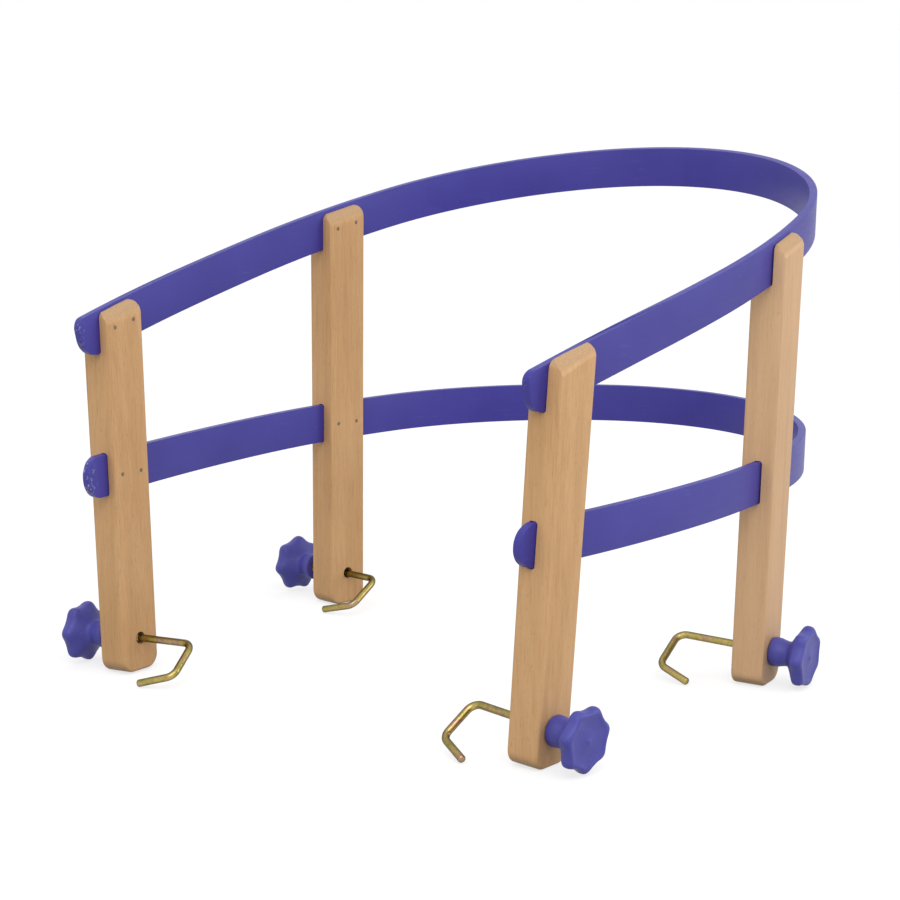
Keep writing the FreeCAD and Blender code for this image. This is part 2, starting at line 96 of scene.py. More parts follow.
def end_sag(band, side, y):
    """How far a band hangs below its own plane at y, and the slope that gives it."""
    if band is not bands["upper_band"] or y >= sag_from:
        return 0.0, 0.0
    part = (sag_from - y) / (sag_from - sag_to)
    return sag[side] * part ** 2, 2 * sag[side] * part / (sag_from - sag_to)


def bow_start(z, side):
    back_off = axis_y("rear", z) - widest_y
    return axis_x("rear", side, z) + bow_r - sqrt(bow_r ** 2 - back_off ** 2)


def cross_z(row, band):
    """Height at which a post's middle meets the middle of a band."""
    at_foot = band["z"] + (rows[row]["y"] + half_pitch) * band["slope"]
    return at_foot / (1 - band["slope"] * tan(rows[row]["rake"]))


def heading(row, side, band):
    """How far a band runs inwards, to the back, where it passes a post."""
    z = cross_z(row, band)
    radius = bow_r
    if row == "front":
        d = bow_start(z, side) - axis_x("front", side, z)
        h = widest_y - axis_y("front", z)
        radius = (d * d + h * h) / (2 * d)
    return asin((axis_y(row, z) - widest_y) / radius)


def own_lean(row, side, z):
    """From a post's foot up its middle to height z, in the post's own directions."""
    turn = rows[row]["turn"]
    x = axis_x(row, side, z) - axis_x(row, side, 0)
    y = axis_y(row, z) - axis_y(row, 0)
    return Vector((x * cos(turn) + y * sin(turn), y * cos(turn) - x * sin(turn), z))


def into_place(piece, row, side):
    """Turn a piece made in a post's own directions and stand it at the post's foot."""
    move = Matrix.Translation((rows[row]["half"], rows[row]["y"], 0))
    move = move @ Matrix.Rotation(rows[row]["turn"], 4, "Z")
    piece.data.transform(Matrix.Diagonal((side, 1, 1, 1)) @ move)
    if side < 0:
        tidy_faces(piece)


def tidy_faces(piece):
    """Merge doubles and turn every face outwards."""
    bpy.ops.object.select_all(action="DESELECT")
    piece.select_set(True)
    bpy.context.view_layer.objects.active = piece
    bpy.ops.object.mode_set(mode="EDIT")
    bpy.ops.mesh.select_all(action="SELECT")
    bpy.ops.mesh.remove_doubles(threshold=1e-6)
    bpy.ops.mesh.normals_make_consistent(inside=False)
    bpy.ops.object.mode_set(mode="OBJECT")


def pick(piece, kind, wanted):
    """In edit mode, leave selected only the edges or faces for which wanted is true."""
    mesh = bmesh.from_edit_mesh(piece.data)
    bpy.ops.mesh.select_all(action="DESELECT")
    bpy.ops.mesh.select_mode(type=kind)
    for item in (mesh.edges if kind == "EDGE" else mesh.faces):
        item.select_set(wanted(item))
    bmesh.update_edit_mesh(piece.data)


def cut(piece, tool, how="DIFFERENCE"):
    """Take a tool's shape out of a piece, and throw the tool away."""
    bpy.ops.object.select_all(action="DESELECT")
    bpy.context.view_layer.objects.active = piece
    piece.select_set(True)
    knife = piece.modifiers.new("cut", "BOOLEAN")
    knife.operation = how
    knife.object = tool
    knife.solver = "EXACT"
    bpy.ops.object.modifier_apply(modifier=knife.name)
    bpy.data.objects.remove(tool, do_unlink=True)


def smooth(piece, degrees_flat):
    bpy.ops.object.select_all(action="DESELECT")
    piece.select_set(True)
    bpy.context.view_layer.objects.active = piece
    bpy.ops.object.shade_smooth_by_angle(angle=radians(degrees_flat))


def beech_blank(row, side):
    """A planed and rounded stick with its sloped, chamfered top, leaning as it stands."""
    h = rows[row]["h"]
    half, rise = post_w / 2, post_w / 2 * top_slope
    # the front right top climbs a little more, and its inner cheek is cut lower
    crest = 0.0025 if (row, side) == ("front", 1) else 0.0
    bpy.ops.object.select_all(action="DESELECT")
    bpy.ops.mesh.primitive_cube_add(size=1, location=(0, 0, h / 2), scale=(post_t, post_w, h))
    post = bpy.context.object
    bpy.ops.object.transform_apply(location=True, rotation=True, scale=True)
    bpy.ops.object.mode_set(mode="EDIT")
    for back in (-1, 1):
        pick(post, "EDGE", lambda e: all(v.co.z > h / 2 and v.co.y * back > 0 for v in e.verts))
        bpy.ops.transform.translate(value=(0, 0, back * rise + (crest if back > 0 else 0)))
    # foot and shoulders
    pick(post, "EDGE", lambda e: all(v.co.z < h / 2 for v in e.verts)
         and abs(e.verts[0].co.x - e.verts[1].co.x) > post_t / 2)
    bpy.ops.mesh.bevel(offset=foot_r, segments=9)
    pick(post, "EDGE", lambda e: all(v.co.z > h / 2 for v in e.verts)
         and abs(e.verts[0].co.x - e.verts[1].co.x) > post_t / 2)
    bpy.ops.mesh.bevel(offset=shoulder_r, segments=6)
    # long edges and the rim of the foot
    top = h - half * top_slope - 0.0052
    pick(post, "EDGE", lambda e: abs(e.verts[0].co.x - e.verts[1].co.x) < 1e-5
         and abs(e.verts[0].co.x) > post_t * 0.49
         and min(v.co.z for v in e.verts) < top)
    bpy.ops.mesh.bevel(offset=edge_r, segments=5)
    # chamfered cheeks
    across, down, soft = 0.0062, 0.0060, 0.0007
    t = atan(top_slope + crest / post_w)
    face = Vector((down, across)).normalized()
    low, high = (face + Vector((1, 0))).normalized(), (face + Vector((0, 1))).normalized()
    edge_low, edge_high = Vector((post_t / 2, -down)), Vector((post_t / 2 - across, 0))
    for cheek in (-1, 1):
        for at, way in ((edge_high, face), (edge_low - low * soft, low),
                        (edge_high - high * soft, high)):
            lower = 2.2 * crest if cheek < 0 else 0
            if lower and way == high:
                continue
            bpy.ops.mesh.select_all(action="SELECT")
            slant = Vector((cheek * way.x, -way.y * sin(t), way.y * cos(t)))
            bpy.ops.mesh.bisect(plane_co=(cheek * at.x, 0, h + crest / 2 + at.y - lower),
                                plane_no=slant.normalized(), use_fill=True, clear_outer=True)
    pick(post, "EDGE", lambda e: min(v.co.z for v in e.verts) > top - 0.004
         and e.is_manifold and degrees(e.calc_face_angle()) > 24)
    bpy.ops.mesh.bevel(offset=0.0006, segments=2, clamp_overlap=True)
    bpy.ops.object.mode_set(mode="OBJECT")
    # the foot is sawn square to the leaning stick
    square = tan(rows[row]["lean"] + side * rows[row]["sway"])
    for v in post.data.vertices:
        if v.co.z < 0.0095:
            v.co.z += (post_t / 2 - v.co.x) * square
    lean = own_lean(row, side, 1)
    post.data.transform(Matrix(((1, 0, lean.x, 0), (0, 1, lean.y, 0), (0, 0, 1, 0), (0, 0, 0, 1))))
    return post


def slot_cutter(row, side, band, open_top):
    """A round-ended milling path through a post along the band's heading."""
    width = band_t + 2 * slot_gap
    half_h = band_w / 2 / cos(atan(band["slope"])) + slot_gap
    hang, steeper = end_sag(band, side, axis_y(row, cross_z(row, band)))
    up = 0.05 if open_top else half_h
    bpy.ops.object.select_all(action="DESELECT")
    bpy.ops.mesh.primitive_cube_add(size=1, location=(0, 0, (up - half_h) / 2),
                                    scale=(width, 0.12, up + half_h))
    tool = bpy.context.object
    bpy.ops.object.transform_apply(location=True, rotation=True, scale=True)
    bpy.ops.object.mode_set(mode="EDIT")
    pick(tool, "EDGE", lambda e: abs(e.verts[0].co.y - e.verts[1].co.y) > 0.06)
    bpy.ops.mesh.bevel(offset=width * 0.3, segments=5)
    bpy.ops.object.mode_set(mode="OBJECT")
    rise = Matrix(((1, 0, 0, 0), (0, 1, 0, 0), (0, band["slope"] + steeper, 1, 0), (0, 0, 0, 1)))
    lean = Matrix.Rotation(rows[row]["lean"] + side * rows[row]["sway"], 4, "Y")
    turn = Matrix.Rotation(heading(row, side, band) - rows[row]["turn"], 4, "Z")
    spot = Matrix.Translation(own_lean(row, side, cross_z(row, band)) - Vector((0, 0, hang)))
    tool.data.transform(spot @ turn @ lean @ rise)
    return tool


def brad_spots(row, side):
    """Where the brads go in: two through each band, on the post's middle."""
    spots = []
    for band in bands.values():
        for y in (-brad_spread, brad_spread):
            z = cross_z(row, band) + y * band["slope"]
            spots.append(own_lean(row, side, z) + Vector((0, y, 0)))
    return spots


def drill(spot, radius, start, length):
    bpy.ops.object.select_all(action="DESELECT")
    bpy.ops.mesh.primitive_cylinder_add(vertices=40, radius=radius, depth=length,
                                        location=spot + Vector((start + length / 2, 0, 0)),
                                        rotation=(0, pi / 2, 0))
    tool = bpy.context.object
    bpy.ops.object.transform_apply(location=True, rotation=True, scale=True)
    return tool


posts = {}
for name, (row, side) in stations.items():
    post = beech_blank(row, side)
    post.name = name + "_beech_post"
    cut(post, slot_cutter(row, side, bands["upper_band"], True))
    cut(post, slot_cutter(row, side, bands["lower_band"], False))
    cut(post, drill(own_lean(row, side, hole_z), hole_r, -0.03, 0.06))
    for spot in brad_spots(row, side):
        cut(post, drill(spot, dent_r, -post_t / 2 - 0.001, 0.0022))
    into_place(post, row, side)
    smooth(post, 30)
    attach(post, "frame")
    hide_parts(name + "_post")
    posts[name] = post


def node(tree, kind, inputs=None, **settings):
    """Add a shader node, set its plain settings, and set or link its inputs."""
    made = tree.nodes.new(kind)
    for key, value in settings.items():
        setattr(made, key, value)
    for key, value in (inputs or {}).items():
        if isinstance(value, bpy.types.NodeSocket):
            tree.links.new(value, made.inputs[key])
        else:
            made.inputs[key].default_value = value
    return made


def ramp(tree, factor, stops):
    made = node(tree, "ShaderNodeValToRGB", {"Fac": factor})
    bar = made.color_ramp.elements
    while len(bar) < len(stops):
        bar.new(0.5)
    for stop, (place, colour) in zip(bar, stops):
        stop.position = place
        stop.color = (*colour, 1) if len(colour) == 3 else colour
    return made.outputs["Color"]


def blend(tree, factor, one, other, how="MIX"):
    made = node(tree, "ShaderNodeMix", data_type="RGBA", blend_type=how)
    for socket, value in ((made.inputs[0], factor), (made.inputs[6], one), (made.inputs[7], other)):
        if isinstance(value, bpy.types.NodeSocket):
            tree.links.new(value, socket)
        else:
            socket.default_value = (*value, 1) if isinstance(value, tuple) else value
    return made.outputs[2]


def new_finish(name):
    finish = bpy.data.materials.new(name)
    finish.use_nodes = True
    return finish, finish.node_tree, finish.node_tree.nodes["Principled BSDF"]


def beech(paleness):
    """Oiled beech: fine upright grain, slow bands of growth, short dark flecks, pale end grain."""
    finish, tree, shader = new_finish("oiled beech" if paleness == 0 else "pale oiled beech")
    spot = node(tree, "ShaderNodeTexCoord").outputs["Object"]
    along = node(tree, "ShaderNodeMapping", {"Vector": spot, "Scale": (1, 1, 0.045)}).outputs[0]
    fleck_at = node(tree, "ShaderNodeMapping", {"Vector": spot, "Scale": (1, 1, 0.16)}).outputs[0]
    fibre = node(tree, "ShaderNodeTexNoise", {"Vector": along, "Scale": 900.0, "Detail": 5.0,
                                              "Roughness": 0.62}).outputs["Fac"]
    growth = node(tree, "ShaderNodeTexNoise", {"Vector": along, "Scale": 130.0, "Detail": 3.0,
                                               "Distortion": 0.6}).outputs["Fac"]
    tone = node(tree, "ShaderNodeTexNoise",
                {"Vector": spot, "Scale": 9.0, "Detail": 2.0}).outputs["Fac"]
    fleck = node(tree, "ShaderNodeTexNoise",
                 {"Vector": fleck_at, "Scale": 1500.0, "Detail": 1.0}).outputs["Fac"]
    ground = ramp(tree, tone, [(0.35, (0.540, 0.308, 0.137)), (0.65, (0.600, 0.355, 0.168))])
    streaks = ramp(tree, growth, [(0.30, (0.88, 0.84, 0.76)), (0.55, (1.0, 1.0, 1.0)),
                                  (0.72, (1.04, 1.04, 1.04))])
    colour = blend(tree, 0.75, ground, streaks, "MULTIPLY")
    grain = ramp(tree, fibre, [(0.32, (0.83, 0.80, 0.76)), (0.52, (1.0, 1.0, 1.0)),
                               (0.75, (1.05, 1.05, 1.04))])
    colour = blend(tree, 0.7, colour, grain, "MULTIPLY")
    specks = ramp(tree, fleck, [(0.655, (0, 0, 0)), (0.70, (1, 1, 1))])
    speck_share = node(tree, "ShaderNodeMath", {0: specks, 1: 0.26},
                       operation="MULTIPLY").outputs[0]
    colour = blend(tree, speck_share, colour, (0.26, 0.12, 0.045))
    colour = blend(tree, paleness, colour, (0.75, 0.55, 0.40))
    facing = node(tree, "ShaderNodeNewGeometry").outputs["Normal"]
    upward = node(tree, "ShaderNodeSeparateXYZ", {0: facing}).outputs["Z"]
    upward = node(tree, "ShaderNodeMath", {0: upward}, operation="ABSOLUTE").outputs[0]
    end_share = node(tree, "ShaderNodeMapRange",
                     {"Value": upward, "From Min": 0.30, "From Max": 0.62}).outputs[0]
    pores = node(tree, "ShaderNodeTexNoise",
                 {"Vector": spot, "Scale": 1700.0, "Detail": 2.0}).outputs["Fac"]
    end_grain = ramp(tree, pores, [(0.36, (0.38, 0.235, 0.118)), (0.50, (0.460, 0.288, 0.150)),
                                   (0.70, (0.495, 0.315, 0.168))])
    colour = blend(tree, end_share, colour, end_grain)
    tree.links.new(colour, shader.inputs["Base Color"])
    sheen = node(tree, "ShaderNodeMapRange",
                 {"Value": fibre, "To Min": 0.46, "To Max": 0.64}).outputs[0]
    tree.links.new(sheen, shader.inputs["Roughness"])
    shader.inputs["Specular IOR Level"].default_value = 0.35
    pits = node(tree, "ShaderNodeMath", {0: fibre, 1: specks}, operation="SUBTRACT").outputs[0]
    bump = node(tree, "ShaderNodeBump", {"Height": pits, "Strength": 0.22, "Distance": 0.00012})
    tree.links.new(bump.outputs[0], shader.inputs["Normal"])
    return finish


wood, pale_wood = beech(0.0), beech(0.25)
for name, post in posts.items():
    post.data.materials.clear()
    post.data.materials.append(pale_wood if name == "rear_right" else wood)


# ---------------------------------------------------------------- wire brads
# Two thin steel brads pin each band in each slot. They are driven from the inside and set
# a hair below the wood; the head is a small domed disc and the shank ends in a point.
def wire_brad():
    """One brad along +X, its head's outer face at the origin."""
    bpy.ops.object.select_all(action="DESELECT")
    bpy.ops.mesh.primitive_cylinder_add(vertices=24, radius=0.0013, depth=0.0007,
                                        location=(0.00045, 0, 0), rotation=(0, pi / 2, 0))
    brad = bpy.context.object
    bpy.ops.object.transform_apply(location=True, rotation=True, scale=True)
    bpy.ops.object.mode_set(mode="EDIT")
    pick(brad, "FACE", lambda f: f.normal.x < -0.9)
    bpy.ops.mesh.inset(thickness=0.00045)
    bpy.ops.transform.translate(value=(-0.0001, 0, 0))
    pick(brad, "FACE", lambda f: f.normal.x > 0.9)
    bpy.ops.mesh.inset(thickness=0.0006)
    for step in (0.0154, 0.0004):
        bpy.ops.mesh.extrude_region_move(TRANSFORM_OT_translate={"value": (step, 0, 0)})
    bpy.ops.mesh.extrude_region_move(TRANSFORM_OT_translate={"value": (0.0013, 0, 0)})
    bpy.ops.transform.resize(value=(1, 0.12, 0.12))
    bpy.ops.object.mode_set(mode="OBJECT")
    return brad


brad = wire_brad()
brads = {}
for name, (row, side) in stations.items():
    copies = []
    for spot in brad_spots(row, side):
        one = bpy.data.objects.new(name + "_brads_set", brad.data.copy())
        scene.collection.objects.link(one)
        one.data.transform(Matrix.Translation(spot + Vector((0.00015 - post_t / 2, 0, 0))))
        copies.append(one)
    bpy.ops.object.select_all(action="DESELECT")
    for one in copies:
        one.select_set(True)
    bpy.context.view_layer.objects.active = copies[0]
    bpy.ops.object.join()
    pins = copies[0]
    pins.name = name + "_wire_brads"
    into_place(pins, row, side)
    smooth(pins, 35)
    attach(pins, "frame")
    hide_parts(name + "_brads")
    brads[name] = pins
bpy.data.objects.remove(brad, do_unlink=True)


def brad_steel():
    """Drawn steel, bright with faint drawing marks and a little dull spotting."""
    finish, tree, shader = new_finish("brad steel")
    spot = node(tree, "ShaderNodeTexCoord").outputs["Object"]
    spots = node(tree, "ShaderNodeTexNoise",
                 {"Vector": spot, "Scale": 1400.0, "Detail": 3.0}).outputs["Fac"]
    tree.links.new(ramp(tree, spots, [(0.35, (0.13, 0.09, 0.06)), (0.65, (0.30, 0.23, 0.17))]),
                   shader.inputs["Base Color"])
    tree.links.new(node(tree, "ShaderNodeMapRange",
                        {"Value": spots, "To Min": 0.28, "To Max": 0.55}).outputs[0],
                   shader.inputs["Roughness"])
    shader.inputs["Metallic"].default_value = 1.0
    return finish


steel = brad_steel()
for pins in brads.values():
    pins.data.materials.clear()
    pins.data.materials.append(steel)

# ---------------------------------------------------------------- plastic bands
# Two flat bars of violet-blue plastic, bent to a U with its closed end at the back and let
# into the posts: the upper one climbs to the rear posts, the lower one lies nearly level.
# Their free ends stand out in front of the posts and are cut to a round.
def flank(z, band, side):
    a1, a2 = bow_angle, band["flank"][side > 0]
    x1 = bow_start(z, side) - bow_r * (1 - cos(a1))
    y1 = widest_y + bow_r * sin(a1)
    return x1, y1, a1, a2, (cos(a1) - cos(a2)) / (sin(a2) - sin(a1))


def half_run(z, band, side):
    """Half of a band's middle line as arcs: centre, radius, from and to, 90 at the back."""
    width = share = 0.0
    for s in (-1, 1):
        x1, y1, _, a2, ratio = flank(z, band, s)
        width += x1 - ratio * (band["reach"] - y1)
        share += cos(a2) - ratio * (1 - sin(a2))
    crown_r = width / share
    widest = bow_start(z, side)
    d = widest - axis_x("front", side, z)
    h = widest_y - axis_y("front", z)
    wall_r = (d * d + h * h) / (2 * d)
    x1, y1, a1, a2, _ = flank(z, band, side)
    flank_r = (band["reach"] - y1 - crown_r * (1 - sin(a2))) / (sin(a2) - sin(a1))
    flank_c = Vector((x1 - flank_r * cos(a1), y1 - flank_r * sin(a1), 0))
    crown_c = flank_c + (flank_r - crown_r) * Vector((cos(a2), sin(a2), 0))
    return [(Vector((widest - wall_r, widest_y, 0)), wall_r, -asin((h + 0.063) / wall_r), 0.0, 44),
            (Vector((widest - bow_r, widest_y, 0)), bow_r, 0.0, a1, 24),
            (flank_c, flank_r, a1, a2, 40),
            (crown_c, crown_r, a2, pi / 2, 24)]


def whole_run(z, band):
    """The U from the right free end to the left: centre, start angle, sweep and steps."""
    right, left = half_run(z, band, 1), half_run(z, band, -1)
    run = [(c, a, b - a, steps) for c, _, a, b, steps in right[:3]]
    crown, turned = right[3], pi - left[2][3]
    run.append((crown[0], crown[2], turned - crown[2], 2 * crown[4]))
    for c, _, a, b, steps in reversed(left[:3]):
        run.append((Vector((-c.x, c.y, 0)), pi - b, b - a, steps))
    return run


def plan_strip(z, band):
    """Flat strip as wide as the bar is thick, spun round the arcs at height z."""
    centre, radius, start, _, _ = half_run(z, band, 1)[0]
    out = Vector((cos(start), sin(start), 0))
    bpy.ops.mesh.primitive_plane_add(size=1, location=(0, 0, 0))
    strip = bpy.context.object
    bpy.ops.object.mode_set(mode="EDIT")
    bpy.ops.mesh.select_all(action="SELECT")
    bpy.ops.mesh.merge(type="CENTER")
    mesh = bmesh.from_edit_mesh(strip.data)
    mesh.verts.ensure_lookup_table()
    mesh.verts[0].co = centre + out * (radius - band_t / 2) + Vector((0, 0, z))
    mesh.verts[0].select_set(True)
    bmesh.update_edit_mesh(strip.data)
    bpy.ops.mesh.select_mode(type="VERT")
    bpy.ops.mesh.extrude_region_move(TRANSFORM_OT_translate={"value": out * band_t})
    mesh = bmesh.from_edit_mesh(strip.data)
    for edge in mesh.edges:
        edge.select_set(True)
    bmesh.update_edit_mesh(strip.data)
    bpy.ops.mesh.select_mode(type="EDGE")
    for c, _, sweep, steps in whole_run(z, band):
        bpy.ops.mesh.spin(steps=steps, angle=-sweep, center=(c.x, c.y, z), axis=(0, 0, 1))
    bpy.ops.object.mode_set(mode="OBJECT")
    return strip


def end_slab(band, side):
    """The room that one half of a band takes up: its sloping edges and its rounded end."""
    y0 = -half_pitch - post_w / 2 - band["over"][side > 0]
    length = 0.6
    bpy.ops.object.select_all(action="DESELECT")
    bpy.ops.mesh.primitive_cube_add(size=1, location=(side * 0.149, length / 2, 0),
                                    scale=(0.302, length, band_w))
    slab = bpy.context.object
    bpy.ops.object.transform_apply(location=True, rotation=True, scale=True)
    bpy.ops.object.mode_set(mode="EDIT")
    for upper, radius in ((True, band["ends"][side][0]), (False, band["ends"][side][1])):
        pick(slab, "EDGE", lambda e: all(v.co.y < length / 2 and (v.co.z > 0) == upper
                                         for v in e.verts))
        bpy.ops.mesh.bevel(offset=radius, segments=12)
    bpy.ops.object.mode_set(mode="OBJECT")
    z0 = band["z"] + (y0 + half_pitch) * band["slope"]
    slab.data.transform(Matrix.Translation((0, y0, z0))
                        @ Matrix.Rotation(atan(band["slope"]), 4, "X"))
    return slab


def bent_bar(name, band):
    low, high = band["z"] - 0.05, band["z"] + 0.15
    bpy.ops.object.select_all(action="DESELECT")
    bottom = plan_strip(low, band)
    bpy.ops.object.select_all(action="DESELECT")
    top = plan_strip(high, band)
    bottom.select_set(True)
    top.select_set(True)
    bpy.context.view_layer.objects.active = bottom
    bpy.ops.object.join()
    bottom.name = name
    bpy.ops.object.mode_set(mode="EDIT")
    bpy.ops.mesh.select_all(action="SELECT")
    bpy.ops.mesh.remove_doubles(threshold=1e-6)
    pick(bottom, "EDGE", lambda e: e.is_boundary)
    bpy.ops.mesh.bridge_edge_loops()
    bpy.ops.mesh.select_all(action="SELECT")
    bpy.ops.mesh.normals_make_consistent(inside=False)
    bpy.ops.object.mode_set(mode="OBJECT")
    slab, other = end_slab(band, 1), end_slab(band, -1)
    cut(slab, other, "UNION")
    cut(bottom, slab, "INTERSECT")
    round_over = bottom.modifiers.new("round_over", "BEVEL")
    round_over.width = 0.0009
    round_over.segments = 4
    round_over.limit_method = "ANGLE"
    round_over.angle_limit = radians(50)
    bpy.ops.object.modifier_apply(modifier="round_over")
    for v in bottom.data.vertices:
        v.co.z -= end_sag(band, 1 if v.co.x > 0 else -1, v.co.y)[0]
    smooth(bottom, 40)
    return bottom


bars = {}
for name, band in bands.items():
    bar = bent_bar(name.replace("band", "plastic_bar"), band)
    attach(bar, "frame")
    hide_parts(name)
    bars[name] = bar


def band_plastic():
    """Violet-blue plastic: cloudy tone, faint lengthwise scuffs, whitened handling marks at
    the free ends and a fine matt skin."""
    finish, tree, shader = new_finish("violet band plastic")
    spot = node(tree, "ShaderNodeTexCoord").outputs["Object"]
    cloud = node(tree, "ShaderNodeTexNoise",
                 {"Vector": spot, "Scale": 26.0, "Detail": 4.0}).outputs["Fac"]
    colour = ramp(tree, cloud, [(0.30, (0.043, 0.036, 0.268)), (0.70, (0.051, 0.044, 0.302))])
    level = node(tree, "ShaderNodeMapping", {"Vector": spot, "Scale": (0.10, 0.10, 1)}).outputs[0]
    streak = node(tree, "ShaderNodeTexNoise",
                  {"Vector": level, "Scale": 620.0, "Detail": 3.0}).outputs["Fac"]
    scuff = ramp(tree, streak, [(0.60, (0, 0, 0)), (0.74, (1, 1, 1))])
    patch = node(tree, "ShaderNodeTexNoise",
                 {"Vector": spot, "Scale": 55.0, "Detail": 2.0}).outputs["Fac"]
    patch = node(tree, "ShaderNodeMapRange", {"Value": patch, "From Min": 0.45, "From Max": 0.72,
                                              "To Max": 0.16}).outputs[0]
    share = node(tree, "ShaderNodeMath", {0: scuff, 1: patch}, operation="MULTIPLY").outputs[0]
    colour = blend(tree, share, colour, (0.22, 0.20, 0.48))
    front = node(tree, "ShaderNodeSeparateXYZ", {0: spot}).outputs["Y"]
    at_end = node(tree, "ShaderNodeMapRange",
                  {"Value": front, "From Min": -0.1365, "From Max": -0.1445,
                                               "To Min": 0.0, "To Max": 0.6}).outputs[0]
    dust = node(tree, "ShaderNodeTexNoise",
                {"Vector": spot, "Scale": 480.0, "Detail": 4.0}).outputs["Fac"]
    dust = ramp(tree, dust, [(0.56, (0, 0, 0)), (0.68, (1, 1, 1))])
    share = node(tree, "ShaderNodeMath", {0: dust, 1: at_end}, operation="MULTIPLY").outputs[0]
    colour = blend(tree, share, colour, (0.46, 0.46, 0.66))
    tree.links.new(colour, shader.inputs["Base Color"])
    tree.links.new(node(tree, "ShaderNodeMapRange",
                        {"Value": streak, "To Min": 0.38, "To Max": 0.52}).outputs[0],
                   shader.inputs["Roughness"])
    shader.inputs["Specular IOR Level"].default_value = 0.32
    skin = node(tree, "ShaderNodeTexNoise",
                {"Vector": spot, "Scale": 2600.0, "Detail": 2.0}).outputs["Fac"]
    bump = node(tree, "ShaderNodeBump", {"Height": skin, "Strength": 0.10, "Distance": 0.00008})
    tree.links.new(bump.outputs[0], shader.inputs["Normal"])
    return finish


violet = band_plastic()
for bar in bars.values():
    bar.data.materials.clear()
    bar.data.materials.append(violet)


# ---------------------------------------------------------------- hook bolts
# Four J-shaped bolts bent from yellow zinc plated wire, with a rolled thread on the outer
# end. Each lies loose in the hole at the foot of its post, hook inwards, swung forwards
# until its tip is on the floor.
wire_r, thread_pitch, thread_depth = 0.0024, 0.0008, 0.00035
hook_len, thread_len, bend_r = 0.074, 0.031, 0.007
leg_len, leg_angle, tip_len, tip_angle = 0.0283, radians(4.8), 0.0244, radians(23)
joints = {j["name"]: j for j in frame["joints"]}
reach = {"front_left": 0.042, "rear_left": 0.030, "front_right": 0.040, "rear_right": 0.043}
swung = {"front_left": radians(56.9), "rear_left": radians(58.7),
         "front_right": radians(53.9), "rear_right": radians(55.9)}


def bolt_axes(name):
    """Where a bolt leaves its post, its outward direction, upwards and backwards across it."""
    side = stations[name][1]
    swing = joints[name + "_hook_swing"]
    out = Vector(swing["axis"]).normalized()
    up = (Vector((0, 0, 1)) - out * out.z).normalized()
    back = up.cross(out) * side
    return Vector(swing["pos_m"]), out, up, back


def in_frame(spot, out, across, up):
    """A turn and a move that lay a piece made along +X on a bolt's axis."""
    return Matrix(((out.x, across.x, up.x, spot.x), (out.y, across.y, up.y, spot.y),
                   (out.z, across.z, up.z, spot.z), (0, 0, 0, 1)))


def pull(vector):
    bpy.ops.mesh.extrude_region_move(TRANSFORM_OT_translate={"value": vector})


def bent_wire():
    """The bolt without its thread: shank along X, hook hanging down, leg's top at the origin."""
    leg = Vector((-sin(leg_angle), 0, -cos(leg_angle)))
    elbow = leg * leg_len
    tip = Vector((cos(tip_angle), 0, -sin(tip_angle)))
    cut1 = bend_r * tan((pi / 2 - leg_angle) / 2)
    turn2 = leg.angle(tip)
    cut2 = bend_r * tan(turn2 / 2)
    core = wire_r - thread_depth
    bpy.ops.object.select_all(action="DESELECT")
    bpy.ops.mesh.primitive_circle_add(vertices=32, radius=core - 0.0006, fill_type="NGON",
                                      location=(hook_len, 0, 0), rotation=(0, pi / 2, 0))
    wire = bpy.context.object
    bpy.ops.object.transform_apply(location=True, rotation=True, scale=True)
    bpy.ops.object.mode_set(mode="EDIT")
    bpy.ops.mesh.select_all(action="SELECT")
    pull((-0.0006, 0, 0))
    grow = core / (core - 0.0006)
    bpy.ops.transform.resize(value=(1, grow, grow))
    pull((0.0006 - thread_len, 0, 0))
    pull((-0.0004, 0, 0))
    grow = wire_r / core
    bpy.ops.transform.resize(value=(1, grow, grow))
    pull((cut1 - (hook_len - thread_len - 0.0004), 0, 0))
    turn1 = pi / 2 - leg_angle
    bpy.ops.mesh.spin(steps=14, angle=turn1, center=(cut1, 0, -bend_r), axis=(0, 1, 0))
    pull(leg * (leg_len - cut1 - cut2))
    middle = elbow - leg * cut2 + Vector((cos(leg_angle), 0, -sin(leg_angle))) * bend_r
    bpy.ops.mesh.spin(steps=14, angle=turn2, center=middle, axis=(0, 1, 0))
    pull(tip * (tip_len - cut2 - 0.0004))
    for step, keep in ((0.0004, 0.94), (0.0005, 0.80), (0.0002, 0.55)):
        pull(tip * step)
        bpy.ops.transform.resize(value=(keep, keep, keep))
    bpy.ops.object.mode_set(mode="OBJECT")
    return wire


def rolled_thread():
    """One ridge per pitch, wound round the X axis along the bolt's outer end."""
    root = wire_r - thread_depth - 0.00005
    bpy.ops.object.select_all(action="DESELECT")
    bpy.ops.mesh.primitive_circle_add(vertices=4, radius=1, location=(0, 0, 0))
    ridge = bpy.context.object
    bpy.ops.object.mode_set(mode="EDIT")
    mesh = bmesh.from_edit_mesh(ridge.data)
    start = hook_len - thread_len
    outline = ((start + 0.00002, root), (start + 0.00033, wire_r), (start + 0.00047, wire_r),
               (start + thread_pitch - 0.00002, root))
    for v, (x, z) in zip(mesh.verts, outline):
        v.co = (x, 0, z)
    bmesh.update_edit_mesh(ridge.data)
    bpy.ops.object.mode_set(mode="OBJECT")
    wind = ridge.modifiers.new("wind", "SCREW")
    wind.axis = "X"
    wind.angle = 2 * pi
    wind.screw_offset = thread_pitch
    wind.iterations = 37
    wind.steps = wind.render_steps = 24
    wind.use_merge_vertices = False
    bpy.ops.object.modifier_apply(modifier="wind")
    bpy.ops.object.mode_set(mode="EDIT")
    pick(ridge, "EDGE", lambda e: e.is_boundary)
    bpy.ops.mesh.edge_face_add()
    bpy.ops.object.mode_set(mode="OBJECT")
    return ridge


